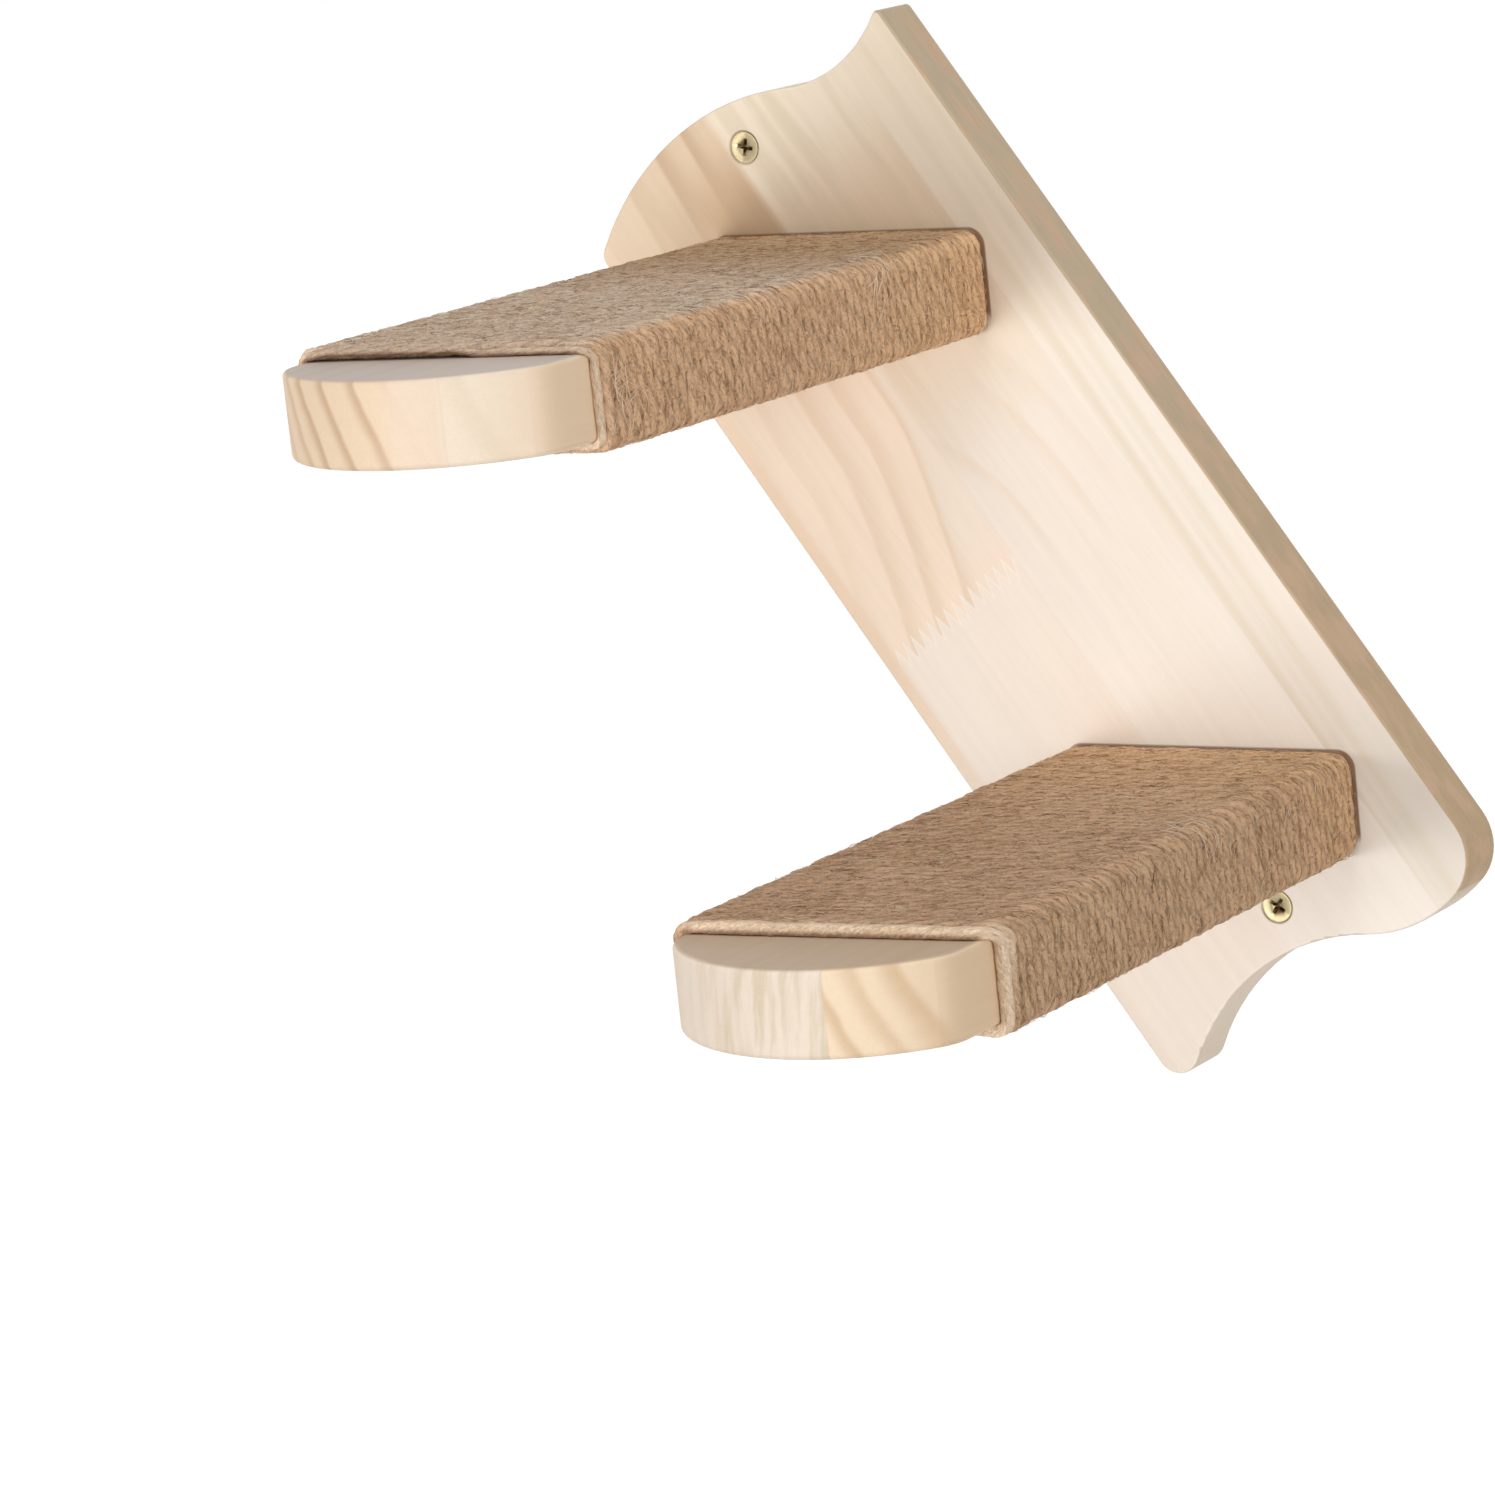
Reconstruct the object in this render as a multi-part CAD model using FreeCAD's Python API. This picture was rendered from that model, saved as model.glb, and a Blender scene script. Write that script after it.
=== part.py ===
import FreeCAD, Part
import math
import os

# Cat wall stairs: a leaning pine panel on the wall carries two treads wound with jute twine.
# The wall is the plane y = 0, the panel stands in front of it towards -Y, and +Z is up.
# The origin lies on the wall, midway between the two wall screws.
# Sizes are in millimetres, angles in degrees.

# Treads: bare wood sizes, and how far the lower one lies below and beside the upper one
step_width = 98.0
step_thickness = 27.0
step_length = 271.0
step_round_depth = 27.3
step_shoulder_rounding = 18.0
step_edge_rounding = 1.8
step_rise = 172.5
step_going = 119.5

# Panel: it leans along the line through both treads, which stand a little to the right of its middle line
panel_width = 144.0
panel_thickness = 20.0
panel_arris = 1.0
step_shift = 3.1

# Wall screws: margins along the panel from the middle of the nearest tread
upper_screw_margin = 59.5
lower_screw_margin = 40.65
wall_screw_length = 60.0
upper_recess_turn = 12.0
lower_recess_turn = 34.0

# Wavy upper end: a crest this far along the panel from the wall screw, then a dip
# Insets are from the long edges, and drop and climb are from crest and dip to those edges
upper_crest_margin = 19.5
upper_crest_inset = 47.8
upper_crest_drop = 12.7
upper_dip_inset = 22.3
upper_dip_climb = 5.85
upper_left_rounding = 5.0
upper_right_rounding = 2.0

# Wavy lower end: a hollow below the wall screw, then a lobe
lower_hollow_margin = 13.0
lower_hollow_inset = 52.5
lower_hollow_drop = 21.05
lower_lobe_inset = 24.5
lower_lobe_climb = 6.7
lower_left_rounding = 8.0
lower_right_rounding = 18.0

# Twine, wound from the panel to the bare front end of each tread
bare_length = 45.0
twine_diameter = 3.8
twine_seat_gap = 0.2
turn_gap = 0.45
turn_count = 24
tail_run = 17.1
crossing_lead = 4.0
crossing_bend_radius = 40.0
exit_run = 11.1
exit_pocket_gap = 1.2

# Countersunk cross-head screws: a plain shank runs through the panel, and the thread starts behind it
screw_diameter = 5.0
screw_shank_diameter = 3.6
screw_head_diameter = 10.4
screw_head_rim = 0.2
screw_head_sink = 0.3
screw_point_length = 6.0
screw_clearance = 0.25
countersink_clearance = 0.15
countersink_angle = 90.0
recess_span = 6.4
recess_width = 1.5
recess_depth = 2.4
recess_floor_share = 0.45

# Tread screws and dowels: the screws stand partway from the tread's middle to its dowels
step_screw_length = 70.0
step_screw_place_share = 0.5
pilot_clearance = 0.1
pilot_end_clearance = 0.5
dowel_diameter = 8.0
dowel_length = 30.0
dowel_in_panel = 10.0
dowel_inset = 13.0
dowel_chamfer = 1.0
dowel_clearance = 0.1
dowel_end_clearance = 0.5

# Every cut runs past its faces by this much
overrun = 1.0

# Worked out from the driving dimensions
lean_angle = math.degrees(math.atan2(step_going, step_rise))
step_pitch = math.hypot(step_rise, step_going)
half_spacing = (upper_screw_margin + step_pitch + lower_screw_margin) / 2
panel_front = -panel_thickness
wrap_length = step_length - bare_length
twine_radius = twine_diameter / 2
turn_pitch = twine_diameter + turn_gap
screw_radius = screw_diameter / 2
shank_radius = screw_shank_diameter / 2
head_radius = screw_head_diameter / 2
slope_of_cone = math.tan(math.radians(countersink_angle / 2))
dowel_radius = dowel_diameter / 2
dowel_offset = step_width / 2 - dowel_inset
step_screw_offset = dowel_offset * step_screw_place_share

ORIGIN = FreeCAD.Vector(0, 0, 0)
X_AXIS = FreeCAD.Vector(1, 0, 0)
Y_AXIS = FreeCAD.Vector(0, 1, 0)
Z_AXIS = FreeCAD.Vector(0, 0, 1)
HALF_TURN = 180
FULL_TURN = 360
CUBIC_MM_PER_CUBIC_CM = 1000


def point(x, y, z):
    return FreeCAD.Vector(x, y, z)


def moved(shape, x, y, z):
    """A copy of a shape, shifted."""
    copy = shape.copy()
    copy.translate(point(x, y, z))
    return copy


def rod(radius, length, start, axis):
    return Part.makeCylinder(radius, length, start, axis)


def save(name, solids):
    """Writes one node: a single solid, or a group of separate ones."""
    shape = solids[0] if len(solids) == 1 else Part.makeCompound(solids)
    for solid in shape.Solids:
        if not solid.isValid():
            raise ValueError(name + " is not a valid solid")
    shape.exportStep(os.path.join("parts", name + ".step"))
    print(name, len(shape.Solids), "solids,", round(shape.Volume / CUBIC_MM_PER_CUBIC_CM, 2), "cm3")


# Places on the leaning panel

def on_panel(across, along):
    """Place in the wall plane of a point given across and along the leaning panel."""
    lean = math.radians(lean_angle)
    x = across * math.cos(lean) - along * math.sin(lean)
    z = across * math.sin(lean) + along * math.cos(lean)
    return x, z


def wall_screw_places():
    """Where the wall screws stand in the wall plane."""
    return {"upper": on_panel(0, half_spacing), "lower": on_panel(0, -half_spacing)}


def step_places():
    """Where the middle lines of the treads meet the panel."""
    return {
        "upper": on_panel(step_shift, half_spacing - upper_screw_margin),
        "lower": on_panel(step_shift, lower_screw_margin - half_spacing),
    }


# Panel

def flat(across, along):
    """A point of the upright panel's outline, before it leans."""
    return point(across, 0, along)


def arc_radius(run, drop):
    """Radius of an arc that leaves its top level and has dropped this much after this run."""
    return (run ** 2 + drop ** 2) / drop / 2


def wave(crest_along, crest_inset, crest_drop, trough_inset, trough_climb):
    """Points of one wavy end of two tangent arcs: a crest on the left and a trough on the right.

    The wave meets the left edge, passes its crest, turns over, passes its trough and meets the right edge.
    """
    half = panel_width / 2
    crest_across = crest_inset - half
    trough_across = half - trough_inset
    crest_radius = arc_radius(crest_inset, crest_drop)
    trough_radius = arc_radius(trough_inset, trough_climb)
    reach = crest_radius + trough_radius
    sideways = trough_across - crest_across
    upward = math.sqrt(reach ** 2 - sideways ** 2)
    turn_share = crest_radius / reach
    crest_centre = crest_along - crest_radius
    trough_along = crest_centre + upward - trough_radius
    return [
        flat(-half, crest_along - crest_drop),
        flat(crest_across, crest_along),
        flat(crest_across + sideways * turn_share, crest_centre + upward * turn_share),
        flat(trough_across, trough_along),
        flat(half, trough_along + trough_climb),
    ]


def wave_edges(points):
    """The two arcs of a wave, split at the point where it turns over."""
    left, crest, turn, trough, right = points
    return [Part.Arc(left, crest, turn).toShape(), Part.Arc(turn, trough, right).toShape()]


def corner_edge(solid, corner):
    """The edge through the panel's thickness that stands nearest to an outline corner."""
    def distance(edge):
        return edge.distToShape(Part.Vertex(corner))[0]
    through = [edge for edge in solid.Edges if edge.BoundBox.YLength > panel_thickness / 2]
    return min(through, key=distance)


def panel_blank():
    """The leaning panel with its wavy ends, without holes."""
    upper = wave(half_spacing + upper_crest_margin, upper_crest_inset, upper_crest_drop,
                 upper_dip_inset, upper_dip_climb)
    lower = wave(-half_spacing - lower_hollow_margin, lower_hollow_inset, lower_hollow_drop,
                 lower_lobe_inset, lower_lobe_climb)
    edges = wave_edges(upper) + wave_edges(lower)
    edges.append(Part.makeLine(upper[0], lower[0]))
    edges.append(Part.makeLine(upper[-1], lower[-1]))
    face = Part.Face(Part.Wire(Part.__sortEdges__(edges)))
    solid = face.extrude(point(0, -panel_thickness, 0))
    corners = (
        (upper[0], upper_left_rounding),
        (upper[-1], upper_right_rounding),
        (lower[0], lower_left_rounding),
        (lower[-1], lower_right_rounding),
    )
    for corner, radius in corners:
        solid = solid.makeFillet(radius, [corner_edge(solid, corner)])
    rims = [edge for edge in solid.Edges if edge.BoundBox.YLength < panel_thickness / 2]
    solid = solid.makeFillet(panel_arris, rims)
    solid.rotate(ORIGIN, Y_AXIS, -lean_angle)
    return solid


def screw_hole(x, z, face_y, into):
    """Clearance hole and countersink from the face at face_y, along +Y (into = 1) or -Y (into = -1)."""
    hole_radius = screw_radius + screw_clearance
    above_cone = overrun + screw_head_sink + screw_head_rim
    mouth_radius = head_radius + countersink_clearance + above_cone * slope_of_cone
    depth = (mouth_radius - hole_radius) / slope_of_cone
    axis = Y_AXIS * into
    start = point(x, face_y - into * overrun, z)
    hole = rod(hole_radius, panel_thickness + overrun * 2, start, axis)
    return hole.fuse(Part.makeCone(mouth_radius, hole_radius, depth, start, axis))


def back_board():
    """The leaning panel with its wall holes, tread screw holes and dowel holes."""
    cuts = [screw_hole(x, z, panel_front, 1) for x, z in wall_screw_places().values()]
    for x, z in step_places().values():
        for side in (-1, 1):
            cuts.append(screw_hole(x + side * step_screw_offset, z, 0, -1))
            cuts.append(dowel_hole(x + side * dowel_offset, z, dowel_in_panel, 1))
    return panel_blank().cut(cuts)


# Dowels

def dowel_hole(x, z, depth, into):
    """A blind hole in the joint face between panel and tread, into the panel (1) or the tread (-1)."""
    start = point(x, panel_front - into * overrun, z)
    return rod(dowel_radius + dowel_clearance, depth + dowel_end_clearance + overrun, start, Y_AXIS * into)


def dowel():
    """A chamfered dowel along Y, its panel end towards the wall."""
    body = rod(dowel_radius, dowel_length, point(0, dowel_in_panel - dowel_length, 0), Y_AXIS)
    rims = [edge for edge in body.Edges if edge.Closed]
    return body.makeChamfer(dowel_chamfer, rims)


def step_dowels(x, z):
    return [moved(dowel(), x + side * dowel_offset, panel_front, z) for side in (-1, 1)]


# Screws

def recess_outline(span, width, y):
    corners = [
        point(-span / 2, y, -width / 2),
        point(span / 2, y, -width / 2),
        point(span / 2, y, width / 2),
        point(-span / 2, y, width / 2),
    ]
    return Part.makePolygon(corners + corners[:1])


def recess():
    """The cross-shaped driver recess in a head whose top lies at y = 0."""
    wings = []
    for span, width in ((recess_span, recess_width), (recess_width, recess_span)):
        mouth = recess_outline(span, width, 0)
        floor = recess_outline(span * recess_floor_share, width * recess_floor_share, recess_depth)
        wings.append(Part.makeLoft([mouth, floor], True, True))
    return wings[0].fuse(wings[1])


def screw(length, turn):
    """A countersunk screw along +Y with the top of its head at y = 0 and its recess turned about Y."""
    cone_depth = (head_radius - shank_radius) / slope_of_cone
    thread_start = panel_thickness - screw_head_sink
    thread_step = screw_radius - shank_radius
    profile = Part.makePolygon([
        ORIGIN,
        point(head_radius, 0, 0),
        point(head_radius, screw_head_rim, 0),
        point(shank_radius, screw_head_rim + cone_depth, 0),
        point(shank_radius, thread_start - thread_step, 0),
        point(screw_radius, thread_start, 0),
        point(screw_radius, length - screw_point_length, 0),
        point(0, length, 0),
        ORIGIN,
    ])
    body = Part.Face(profile).revolve(ORIGIN, Y_AXIS, FULL_TURN)
    body = body.cut(recess())
    body.rotate(ORIGIN, Y_AXIS, turn)
    return body


def wall_screws():
    """The two screws that pass through the panel from the front into the wall."""
    head_top = panel_front + screw_head_sink
    turns = {"upper": upper_recess_turn, "lower": lower_recess_turn}
    return [moved(screw(wall_screw_length, turns[name]), x, head_top, z)
            for name, (x, z) in wall_screw_places().items()]


def step_screws(x, z):
    """Two screws from behind the panel into the end grain of one tread."""
    solids = []
    for side, turn in ((-1, upper_recess_turn), (1, lower_recess_turn)):
        solid = screw(step_screw_length, turn)
        solid.rotate(ORIGIN, Z_AXIS, HALF_TURN)
        solids.append(moved(solid, x + side * step_screw_offset, -screw_head_sink, z))
    return solids


# Treads

def step_blank():
    """One tread about its middle line, from its end grain at y = 0 to its rounded front."""
    half = step_width / 2
    shoulder = step_round_depth - step_length
    low = -step_thickness / 2
    back_left = point(-half, 0, low)
    back_right = point(half, 0, low)
    front_left = point(-half, shoulder, low)
    front_right = point(half, shoulder, low)
    edges = [
        Part.makeLine(back_left, back_right),
        Part.makeLine(back_right, front_right),
        Part.Arc(front_right, point(0, -step_length, low), front_left).toShape(),
        Part.makeLine(front_left, back_left),
    ]
    solid = Part.Face(Part.Wire(edges)).extrude(point(0, 0, step_thickness))
    shoulders = [edge for edge in solid.Edges
                 if edge.BoundBox.ZLength > step_thickness / 2 and edge.BoundBox.YMax < shoulder / 2]
    solid = solid.makeFillet(step_shoulder_rounding, shoulders)
    long_edges = [edge for edge in solid.Edges
                  if edge.BoundBox.ZLength < step_thickness / 2 and edge.BoundBox.YMin < shoulder / 2]
    return solid.makeFillet(step_edge_rounding, long_edges)


def step_board(x, z):
    """One tread on the panel, with its dowel holes and screw pilots."""
    pilot_depth = step_screw_length + screw_head_sink - panel_thickness + pilot_end_clearance
    cuts = []
    for side in (-1, 1):
        pilot_start = point(x + side * step_screw_offset, panel_front + overrun, z)
        cuts.append(rod(screw_radius + pilot_clearance, pilot_depth + overrun, pilot_start, -Y_AXIS))
        cuts.append(dowel_hole(x + side * dowel_offset, z, dowel_length - dowel_in_panel, -1))
    return moved(step_blank(), x, panel_front, z).cut(cuts)


# Twine

def rounded_path(points, radii):
    """One smooth wire of lines and arcs through a list of points: each inner point's corner is an arc."""
    edges = []
    start = points[0]
    for before, corner, after, radius in zip(points, points[1:], points[2:], radii):
        toward = (before - corner).normalize()
        away = (after - corner).normalize()
        half_angle = toward.getAngle(away) / 2
        tangent = radius / math.tan(half_angle)
        middle_way = (toward + away).normalize()
        middle = corner + middle_way * (radius / math.sin(half_angle) - radius)
        arc_start = corner + toward * tangent
        arc_end = corner + away * tangent
        edges.append(Part.makeLine(start, arc_start))
        edges.append(Part.Arc(arc_start, middle, arc_end).toShape())
        start = arc_end
    edges.append(Part.makeLine(start, points[-1]))
    return Part.Wire(edges)


def twine_route():
    """Middle line of the front turns about a tread's middle line, from the cut tail to the sleeve.

    Each turn goes up the right side, over the top, down the left side, and moves one row towards the wall
    while it crosses underneath. The last crossing leaves its slant early and turns squarely into the sleeve.
    """
    off_wood = twine_seat_gap + twine_radius
    side = step_width / 2 + off_wood
    height = step_thickness / 2 + off_wood
    bend = step_edge_rounding + off_wood
    tail_start = side - tail_run
    crossing_end = tail_start - crossing_lead
    row = twine_radius - wrap_length
    points = [point(tail_start, row, -height)]
    radii = []
    for turn in range(turn_count):
        next_row = row + turn_pitch
        points += [
            point(side, row, -height),
            point(side, row, height),
            point(-side, row, height),
            point(-side, row, -height),
        ]
        radii += [bend, bend, bend, bend]
        if turn < turn_count - 1:
            points.append(point(crossing_end, next_row, -height))
            radii.append(crossing_bend_radius)
            row = next_row
    exit_place = exit_run - side
    exit_share = exit_run / (crossing_end + side)
    exit_row = row + turn_pitch * exit_share
    points.append(point(exit_place, exit_row, -height))
    points.append(point(exit_place, exit_row + bend + twine_diameter, -height))
    radii.append(bend)
    return rounded_path(points, radii)


def least_gap(route):
    """Least clear distance between different parts of the twine, measured on points along its middle line."""
    spacing = twine_radius / 2
    apart = twine_diameter * 3
    one_turn = (step_width + step_thickness + twine_diameter * 4) * 2
    points = route.discretize(Distance=spacing)
    first = int(apart / spacing)
    last = int((one_turn + apart) / spacing)
    nearest = route.Length
    for index, here in enumerate(points):
        for there in points[index + first:index + last]:
            nearest = min(nearest, here.distanceToPoint(there))
    return nearest - twine_diameter


def twine_turns(x, z):
    """The front turns of one tread's twine, as one unbroken tube."""
    route = twine_route()
    start = route.Edges[0].firstVertex().Point
    ring = Part.Wire(Part.makeCircle(twine_radius, start, X_AXIS))
    tube = route.makePipeShell([ring], True, False)
    filled_share = tube.Volume / (math.pi * twine_radius ** 2 * route.Length)
    print("twine turns: least gap to itself", round(least_gap(route), 3), "mm, length",
          round(route.Length, 1), "mm, volume over section times length", round(filled_share, 5))
    return moved(tube, x, panel_front, z)


def rounded_bar(width, height, radius, start, end):
    """A bar along Y with a rounded rectangular section about the tread's middle line."""
    bar = Part.makeBox(width, end - start, height, point(-width / 2, start, -height / 2))
    long_edges = [edge for edge in bar.Edges if edge.BoundBox.YLength > (end - start) / 2]
    return bar.makeFillet(radius, long_edges)


def exit_pocket(front):
    """Room under the sleeve where the front turns' twine runs into it."""
    end = twine_route().Vertexes[-1].Point
    half = twine_radius + exit_pocket_gap
    low = step_thickness / 2 + twine_seat_gap + twine_diameter + overrun
    height = twine_diameter + overrun + twine_seat_gap
    return Part.makeBox(half * 2, end.y - front + overrun, height, point(end.x - half, front - overrun, -low))


def twine_sleeve(x, z):
    """The rest of one tread's winding, behind the front turns, as a plain sleeve."""
    inner_width = step_width + twine_seat_gap * 2
    inner_height = step_thickness + twine_seat_gap * 2
    bend = step_edge_rounding + twine_seat_gap
    front = turn_count * turn_pitch + turn_gap - wrap_length
    back = -twine_seat_gap
    outer = rounded_bar(inner_width + twine_diameter * 2, inner_height + twine_diameter * 2,
                        bend + twine_diameter, front, back)
    inner = rounded_bar(inner_width, inner_height, bend, front - overrun, back + overrun)
    return moved(outer.cut(inner).cut(exit_pocket(front)), x, panel_front, z)


def main():
    os.makedirs("parts", exist_ok=True)
    save("back_board", [back_board()])
    save("wall_screws", wall_screws())
    for name, (x, z) in step_places().items():
        save(name + "_step_board", [step_board(x, z)])
        save(name + "_step_screws", step_screws(x, z))
        save(name + "_step_dowels", step_dowels(x, z))
        save(name + "_twine_turns", [twine_turns(x, z)])
        save(name + "_twine_sleeve", [twine_sleeve(x, z)])


main()
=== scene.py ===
import math

import bmesh
import bpy
import numpy as np
from mathutils import Matrix, Vector


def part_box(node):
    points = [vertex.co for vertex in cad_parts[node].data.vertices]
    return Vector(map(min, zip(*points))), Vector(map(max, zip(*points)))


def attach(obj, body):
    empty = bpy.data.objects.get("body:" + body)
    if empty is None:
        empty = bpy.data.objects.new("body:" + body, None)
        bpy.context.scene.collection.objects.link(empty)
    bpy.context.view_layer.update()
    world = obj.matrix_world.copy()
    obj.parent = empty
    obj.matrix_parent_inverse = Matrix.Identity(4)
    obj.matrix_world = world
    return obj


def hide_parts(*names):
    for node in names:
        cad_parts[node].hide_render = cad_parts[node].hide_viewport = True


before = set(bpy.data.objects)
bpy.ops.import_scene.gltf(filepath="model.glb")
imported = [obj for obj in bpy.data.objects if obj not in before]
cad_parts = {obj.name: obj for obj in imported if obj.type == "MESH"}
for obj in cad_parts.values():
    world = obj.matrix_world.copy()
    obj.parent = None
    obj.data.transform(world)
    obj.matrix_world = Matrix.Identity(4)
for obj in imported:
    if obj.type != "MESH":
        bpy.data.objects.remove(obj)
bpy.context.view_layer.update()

# Lengths in the tables below are millimetres, and Blender's are metres
MM = 0.001
PER_METRE = 1000.0

# Camera, fitted to the photograph's straight edges
camera_place = (0.94457, -1.57734, 0.29807)
camera_azimuth = 34.17
camera_elevation = 11.35
camera_roll = -6.06
camera_lens = 133.907
camera_sensor = 36.0
camera_reach = (0.05, 60.0)

# Panel and treads, as in the solids
lean_angle = 34.7129
step_half_width = 49.0
step_half_thickness = 13.5
step_edge_rounding = 1.8
wrap_front = -246.0
wrap_back = -20.9
head_radius = 5.2
wall_screw_spacing = 310.0
stave_seams = (-5.5, 49.0)

# Twine: 53 turns, of which the front 24 stand for the solid turns and the rest for the sleeve
turn_count = 53
front_turns = 24
twine_radius = 2.05
twine_flatness = 0.95
twine_spread = 1.08
twine_seat = 0.1
twine_tail_start = 34.0
twine_crossing_lead = 4.0
twine_lay = 27.0
twine_lobes = 3
twine_lobe_depth = 0.06
first_lobe_depth = 0.07
twine_squareness = 3.6
first_squareness = 5.5
twine_sides = 12
turn_sections = 240
ridge_roughness = 0.13
bend_roughness = 1.1
row_wander = (31.0, 0.14)
thickness_wanders = ((14.0, 0.06), (4.0, 0.03))
lift_wander = (45.0, 0.12)
twist_wander = (60.0, 0.9)
end_taper = 5.0

# Loose fibres of the twine
front_fibres = 7200
back_fibres = 7600
curl_fibres = 18
fibre_knots = 5
fibre_sides = 3
fibre_length = (1.6, 6.0)
fibre_thickness = (0.06, 0.115)
fibre_sink = 0.22
curl_length = (9, 19)
curl_thickness = (0.09, 0.13)

# Where the twine's painted shading changes: how far up a turn faces, and places along the tread; the last
# range is painted shade on the turns next to the panel
level_facing = (0.7, 0.95)
painted_side_shading_range = (-120.0, -25.0)
painted_level_shading_range = (-150.0, -60.0)
wall_slit_shade = (-22.4, -21.2)

# Wall screws: thread behind the panel
thread_pitch = 2.2
thread_crest = 2.5
thread_core = 1.62
thread_start = -0.6
thread_full = 1.5
thread_point = 34.3
thread_tip = 40.3
shank_radius = 1.8
shank_cut = -1.0
thread_columns = 36
thread_row = 0.16
thread_flank = 0.24

# Light: each lamp's place, target, size and level
world_level = 0.32
floor_height = -1.1
floor_half_size = 12.0
lamps = {
    "key": ((-0.38, -1.5, -0.14), (0, -0.02, 0), 0.45, 0.42),
    "side_fill": ((2.4, -1.0, 0.1), (0, -0.1, 0), 1.6, 0.4),
    "top_fill": ((0.2, -1.0, 2.2), (0, -0.1, 0), 1.6, 0.42),
    "back_fill": ((-0.7, 2.2, 0.0), (0, 0, 0), 1.6, 0.32),
}


def srgb(red, green, blue):
    """A colour as it looks on screen, as linear values."""
    def linear(value):
        share = value / 255
        if share <= 0.04045:
            return share / 12.92
        return ((share + 0.055) / 1.055) ** 2.4
    return linear(red), linear(green), linear(blue), 1.0


# Node graphs

class Graph:
    """A procedural material, put together from small steps that take numbers or sockets."""

    def __init__(self, name):
        self.material = bpy.data.materials.new(name)
        self.material.use_nodes = True
        self.tree = self.material.node_tree
        self.tree.nodes.clear()

    def node(self, kind, **settings):
        made = self.tree.nodes.new(kind)
        for key, value in settings.items():
            setattr(made, key, value)
        return made

    def put(self, socket, value):
        if isinstance(value, bpy.types.NodeSocket):
            self.tree.links.new(value, socket)
        else:
            socket.default_value = value

    def math(self, operation, *values):
        made = self.node("ShaderNodeMath", operation=operation)
        for socket, value in zip(made.inputs, values):
            self.put(socket, value)
        return made.outputs[0]

    def add(self, *values):
        total = values[0]
        for value in values[1:]:
            total = self.math("ADD", total, value)
        return total

    def times(self, *values):
        total = values[0]
        for value in values[1:]:
            total = self.math("MULTIPLY", total, value)
        return total

    def less(self, first, second):
        return self.math("SUBTRACT", first, second)

    def smooth(self, value, low, high, start=0.0, end=1.0):
        """A soft step between two levels."""
        made = self.node("ShaderNodeMapRange", interpolation_type="SMOOTHSTEP")
        for socket, item in zip(made.inputs, (value, low, high, start, end)):
            self.put(socket, item)
        return made.outputs[0]

    def dot(self, vector, axis):
        made = self.node("ShaderNodeVectorMath", operation="DOT_PRODUCT")
        self.put(made.inputs[0], vector)
        made.inputs[1].default_value = axis
        return made.outputs["Value"]

    def shifted(self, vector, shift):
        made = self.node("ShaderNodeVectorMath", operation="SUBTRACT")
        self.put(made.inputs[0], vector)
        made.inputs[1].default_value = shift
        return made.outputs[0]

    def vector(self, x, y, z):
        made = self.node("ShaderNodeCombineXYZ")
        for socket, value in zip(made.inputs, (x, y, z)):
            self.put(socket, value)
        return made.outputs[0]

    def place(self):
        """Where a point lies in the part's frame, in metres."""
        return self.node("ShaderNodeTexCoord").outputs["Object"]

    def normal(self):
        return self.node("ShaderNodeNewGeometry").outputs["Normal"]

    def attribute(self, name, output="Fac"):
        return self.node("ShaderNodeAttribute", attribute_name=name).outputs[output]

    def noise(self, vector, scale=1.0, detail=2.0, roughness=0.5):
        made = self.node("ShaderNodeTexNoise")
        self.put(made.inputs["Vector"], vector)
        made.inputs["Scale"].default_value = scale
        made.inputs["Detail"].default_value = detail
        made.inputs["Roughness"].default_value = roughness
        return made.outputs[0]

    def mix(self, share, first, second, blend="MIX"):
        made = self.node("ShaderNodeMix", data_type="RGBA", blend_type=blend)
        for index, value in ((0, share), (6, first), (7, second)):
            self.put(made.inputs[index], value)
        return made.outputs[2]

    def shade(self, colour, amount):
        """A colour times a grey amount."""
        return self.mix(1.0, colour, self.vector(amount, amount, amount), "MULTIPLY")

    def ramp(self, value, *stops):
        made = self.node("ShaderNodeValToRGB")
        elements = made.color_ramp.elements
        while len(elements) < len(stops):
            elements.new(0.5)
        for element, (position, colour) in zip(elements, stops):
            element.position = position
            element.color = colour
        self.put(made.inputs[0], value)
        return made.outputs[0]

    def finish(self, colour, height=None, depth=0.0, roughness=0.5, **settings):
        """Ends the graph in a surface with an optional bump of this depth in millimetres."""
        shader = self.node("ShaderNodeBsdfPrincipled")
        self.put(shader.inputs["Base Color"], colour)
        self.put(shader.inputs["Roughness"], roughness)
        for key, value in settings.items():
            shader.inputs[key].default_value = value
        if height is not None:
            bump = self.node("ShaderNodeBump")
            bump.inputs["Distance"].default_value = depth * MM
            self.put(bump.inputs["Height"], height)
            self.put(shader.inputs["Normal"], bump.outputs[0])
        output = self.node("ShaderNodeOutputMaterial")
        self.put(output.inputs["Surface"], shader.outputs[0])
        return self.material


# Where the treads' middle lines run, in millimetres
tread_middles = {}
for tread in ("upper", "lower"):
    board_low, board_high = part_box(tread + "_step_board")
    board_sum = np.array([board_low.x + board_high.x, 0, board_low.z + board_high.z])
    tread_middles[tread] = board_sum / 2 * PER_METRE


# Wood

def growth_band(graph, place, at, lead, fall):
    """A growth line across a coordinate: it darkens slowly over lead, and ends quickly over fall."""
    rise = graph.smooth(place, at - lead, at)
    drop = graph.smooth(place, at, at + fall, 1.0, 0.0)
    return graph.times(rise, drop)


def strongest(graph, values):
    total = values[0]
    for value in values[1:]:
        total = graph.math("MAXIMUM", total, value)
    return total


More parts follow.
